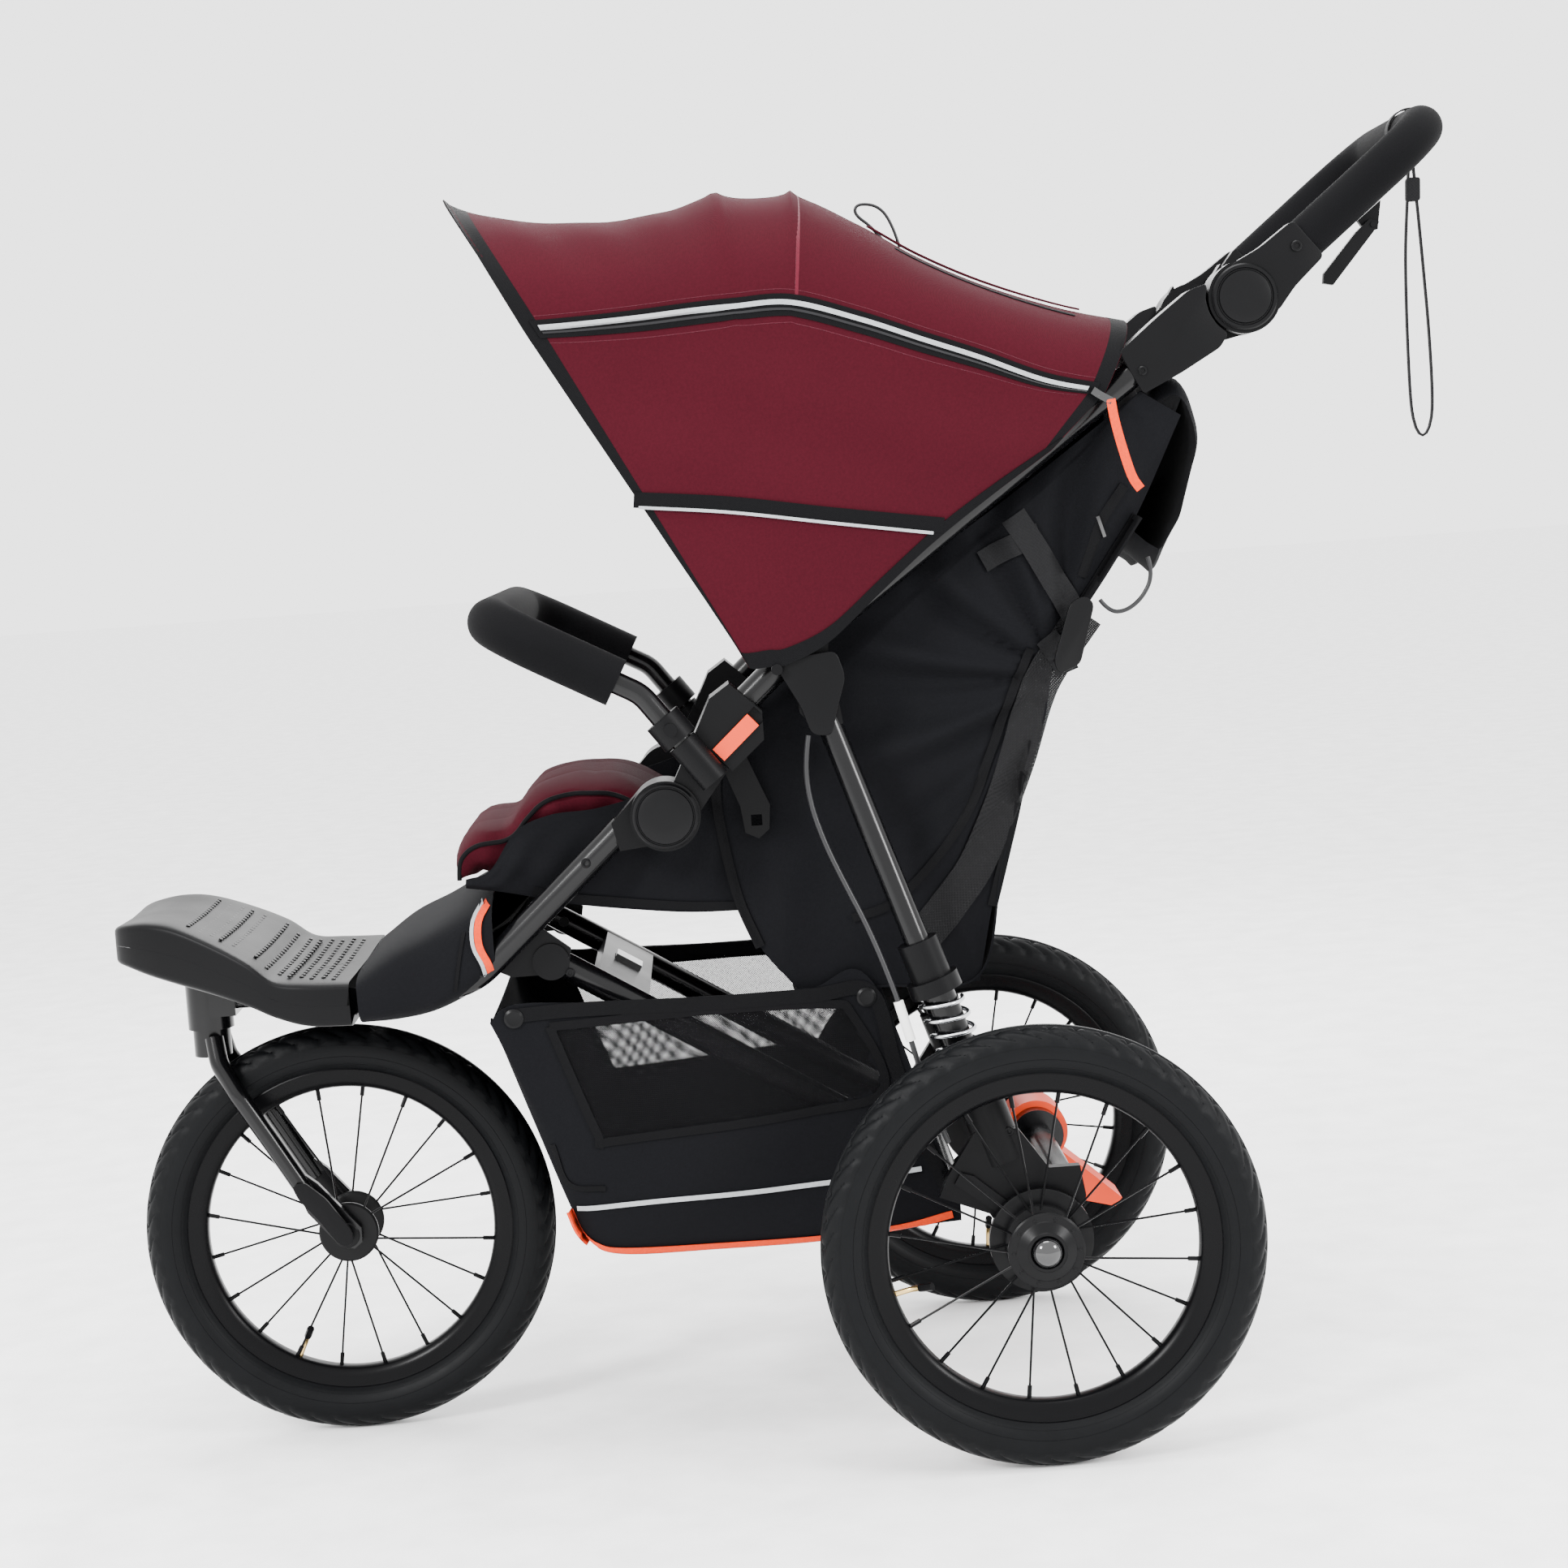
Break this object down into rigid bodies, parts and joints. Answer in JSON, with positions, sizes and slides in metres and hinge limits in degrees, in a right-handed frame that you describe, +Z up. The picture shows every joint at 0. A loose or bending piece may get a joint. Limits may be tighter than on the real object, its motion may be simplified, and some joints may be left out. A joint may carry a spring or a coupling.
{
  "type": "baby stroller",
  "caption": "Folding three-wheel jogging stroller with swivelling front wheel, sprung rear axle, reclining seat, sun canopy, bumper bar, basket and tilting handle",
  "frame": {"origin": "on the ground under the middle of the overall box", "axes": "+Z up, front wheel towards -Y, width along X"},
  "size_m": [0.632, 1.2994, 1.196],
  "materials": {
    "frame_black": "satin black powder coat",
    "moulded_black": "fine-textured black moulding",
    "tyre_black": "black tyre rubber",
    "rim_black": "semi-gloss black",
    "foam_black": "black closed-cell foam",
    "spring_steel": "bright plated wire",
    "orange_plastic": "orange moulding",
    "gloss_black": "gloss black button",
    "black_fabric": "black woven polyester",
    "burgundy_fabric": "burgundy woven polyester",
    "mesh_fabric": "black mesh and woven panels",
    "cable_black": "cable housing",
    "cable_white": "white adjuster"
  },
  "bodies": {
    "front_frame": {"steering_head": "frame_black", "front_side_tubes": "frame_black", "chassis_tube_sockets": "moulded_black", "fold_joint_housings": "moulded_black", "footplate": "moulded_black", "front_apron": "black_fabric", "seat_base": "black_fabric", "basket": "mesh_fabric"},
    "upper_frame": {"upper_side_tubes": "frame_black", "fold_joint_covers": "moulded_black", "adapter_blocks": "moulded_black", "handle_joint_bases": "moulded_black", "leg_and_canopy_pivots": "moulded_black", "seat_side_panels": "black_fabric", "rear_pouch": "black_fabric", "canopy_rear": "burgundy_fabric"},
    "back_panel": {"backrest": "black_fabric"},
    "handle": {"handle_joint_covers": "moulded_black", "handle_tube": "frame_black", "handle_grip": "foam_black", "brake_lever_bracket": "moulded_black", "wrist_strap": "black_fabric"},
    "lever": {"hand_brake_lever": "moulded_black"},
    "canopy": {"canopy_front": "burgundy_fabric"},
    "bumper": {"bumper_bar": "frame_black", "bumper_pad": "foam_black", "bumper_collars": "moulded_black"},
    "bumper_button_l": {"bumper_button_left": "moulded_black"},
    "bumper_button_r": {"bumper_button_right": "moulded_black"},
    "slider_l": {"adapter_slider_left": "orange_plastic"},
    "slider_r": {"adapter_slider_right": "orange_plastic"},
    "hook": {"fold_hook": "moulded_black"},
    "rear_legs": {"rear_leg_brackets": "moulded_black", "rear_leg_tubes": "frame_black", "suspension_collars": "moulded_black", "brake_cable": "cable_black", "cable_adjuster": "cable_white", "spring_left": "spring_steel", "spring_right": "spring_steel"},
    "rear_axle": {"rear_axle_beams": "frame_black", "wheel_carriers": "moulded_black"},
    "pedal": {"foot_brake_pedal": "orange_plastic"},
    "arm_l": {"drum_brake_arm_left": "moulded_black"},
    "arm_r": {"drum_brake_arm_right": "moulded_black"},
    "wheel_l": {"rear_left_tyre": "tyre_black", "rear_left_rim": "rim_black", "rear_left_spokes": "rim_black", "rear_left_hub": "moulded_black"},
    "wheel_r": {"rear_right_tyre": "tyre_black", "rear_right_rim": "rim_black", "rear_right_spokes": "rim_black", "rear_right_hub": "moulded_black"},
    "hub_button_l": {"hub_button_left": "gloss_black"},
    "hub_button_r": {"hub_button_right": "gloss_black"},
    "front_fork": {"fork": "frame_black"},
    "front_wheel": {"front_tyre": "tyre_black", "front_rim": "rim_black", "front_spokes": "rim_black", "front_hub": "moulded_black"},
    "release": {"front_quick_release": "frame_black"},
    "chassis": {"lower_chassis_tubes": "frame_black", "fold_latch_bracket": "moulded_black"},
    "latch_button": {"fold_release_button": "gloss_black"}
  },
  "joints": [
    {"name": "frame_fold", "type": "hinge", "parent": "front_frame", "child": "upper_frame", "pos_m": [0, -0.11075, 0.602], "axis": [1, 0, 0], "range_deg": [0, 58]},
    {"name": "leg_fold", "type": "hinge", "parent": "upper_frame", "child": "rear_legs", "pos_m": [0, 0.02975, 0.722], "axis": [1, 0, 0], "range_deg": [-28, 0]},
    {"name": "chassis_fold", "type": "hinge", "parent": "front_frame", "child": "chassis", "pos_m": [0, -0.22725, 0.467], "axis": [1, 0, 0], "range_deg": [0, 27]},
    {"name": "suspension", "type": "slide", "parent": "rear_legs", "child": "rear_axle", "axis": [0, -0.306, 0.952], "range_m": [0, 0.02], "stiffness_N_per_m": 12000, "springref_m": -0.02, "deforming": ["spring_left", "spring_right", "brake_cable"]},
    {"name": "rear_wheel_left_spin", "type": "hinge", "parent": "rear_axle", "child": "wheel_l", "pos_m": [0, 0.19775, 0.1995], "axis": [1, 0, 0], "continuous": true},
    {"name": "rear_wheel_right_spin", "type": "hinge", "parent": "rear_axle", "child": "wheel_r", "pos_m": [0, 0.19775, 0.1995], "axis": [1, 0, 0], "continuous": true},
    {"name": "caster_swivel", "type": "hinge", "parent": "front_frame", "child": "front_fork", "pos_m": [0, -0.56925, 0.43], "axis": [0, 0, 1], "continuous": true},
    {"name": "front_wheel_spin", "type": "hinge", "parent": "front_fork", "child": "front_wheel", "pos_m": [0, -0.45025, 0.1995], "axis": [1, 0, 0], "continuous": true},
    {"name": "quick_release", "type": "hinge", "parent": "front_fork", "child": "release", "pos_m": [0.0512, -0.45025, 0.1995], "axis": [0, 0.7691, 0.6391], "range_deg": [0, 90]},
    {"name": "handle_tilt", "type": "hinge", "parent": "upper_frame", "child": "handle", "pos_m": [0, 0.44475, 1.028], "axis": [1, 0, 0], "range_deg": [-60, 15]},
    {"name": "brake_lever", "type": "hinge", "parent": "handle", "child": "lever", "pos_m": [0.14, 0.56875, 1.086], "axis": [-1, 0, 0], "range_deg": [0, 12], "stiffness_Nm_per_rad": 0.3, "springref_deg": -11.46},
    {"name": "drum_arm_left", "type": "hinge", "parent": "rear_axle", "child": "arm_l", "pos_m": [0.25, 0.16775, 0.228], "axis": [-1, 0, 0], "range_deg": [0, 14]},
    {"name": "drum_arm_right", "type": "hinge", "parent": "rear_axle", "child": "arm_r", "pos_m": [-0.25, 0.16775, 0.228], "axis": [-1, 0, 0], "range_deg": [0, 14]},
    {"name": "canopy_fold", "type": "hinge", "parent": "upper_frame", "child": "canopy", "pos_m": [0, -0.00225, 0.725], "axis": [-1, 0, 0], "range_deg": [0, 38]},
    {"name": "bumper_lift", "type": "slide", "parent": "upper_frame", "child": "bumper", "axis": [0, -0.5936, 0.8047], "range_m": [0, 0.045]},
    {"name": "bumper_button_left_press", "type": "slide", "parent": "bumper", "child": "bumper_button_l", "axis": [-1, 0, 0], "range_m": [0, 0.002], "stiffness_N_per_m": 500, "springref_m": -0.002},
    {"name": "bumper_button_right_press", "type": "slide", "parent": "bumper", "child": "bumper_button_r", "axis": [1, 0, 0], "range_m": [0, 0.002], "stiffness_N_per_m": 500, "springref_m": -0.002},
    {"name": "adapter_slider_left_pull", "type": "slide", "parent": "upper_frame", "child": "slider_l", "axis": [0, 0.746, 0.666], "range_m": [0, 0.008], "stiffness_N_per_m": 300, "springref_m": -0.003},
    {"name": "adapter_slider_right_pull", "type": "slide", "parent": "upper_frame", "child": "slider_r", "axis": [0, 0.746, 0.666], "range_m": [0, 0.008], "stiffness_N_per_m": 300, "springref_m": -0.003},
    {"name": "fold_hook_swing", "type": "hinge", "parent": "upper_frame", "child": "hook", "pos_m": [0.174, -0.04525, 0.648], "axis": [1, 0, 0], "range_deg": [-30, 30]},
    {"name": "foot_brake", "type": "hinge", "parent": "rear_axle", "child": "pedal", "pos_m": [0, 0.22175, 0.247], "axis": [-1, 0, 0], "range_deg": [0, 20]},
    {"name": "backrest_recline", "type": "hinge", "parent": "upper_frame", "child": "back_panel", "pos_m": [0, 0.08775, 0.52], "axis": [-1, 0, 0], "range_deg": [0, 20]},
    {"name": "hub_button_left_press", "type": "slide", "parent": "wheel_l", "child": "hub_button_l", "axis": [-1, 0, 0], "range_m": [0, 0.003], "stiffness_N_per_m": 500, "springref_m": -0.002},
    {"name": "hub_button_right_press", "type": "slide", "parent": "wheel_r", "child": "hub_button_r", "axis": [1, 0, 0], "range_m": [0, 0.003], "stiffness_N_per_m": 500, "springref_m": -0.002},
    {"name": "fold_button_press", "type": "slide", "parent": "chassis", "child": "latch_button", "axis": [0, -0.5306, -0.8476], "range_m": [0, 0.003], "stiffness_N_per_m": 500, "springref_m": -0.002}
  ],
  "couplings": [
    {"joint": "leg_fold", "follows": "frame_fold", "ratio": -0.47207},
    {"joint": "chassis_fold", "follows": "frame_fold", "ratio": 0.45042},
    {"joint": "drum_arm_left", "follows": "brake_lever", "ratio": 1},
    {"joint": "drum_arm_right", "follows": "brake_lever", "ratio": 1}
  ]
}
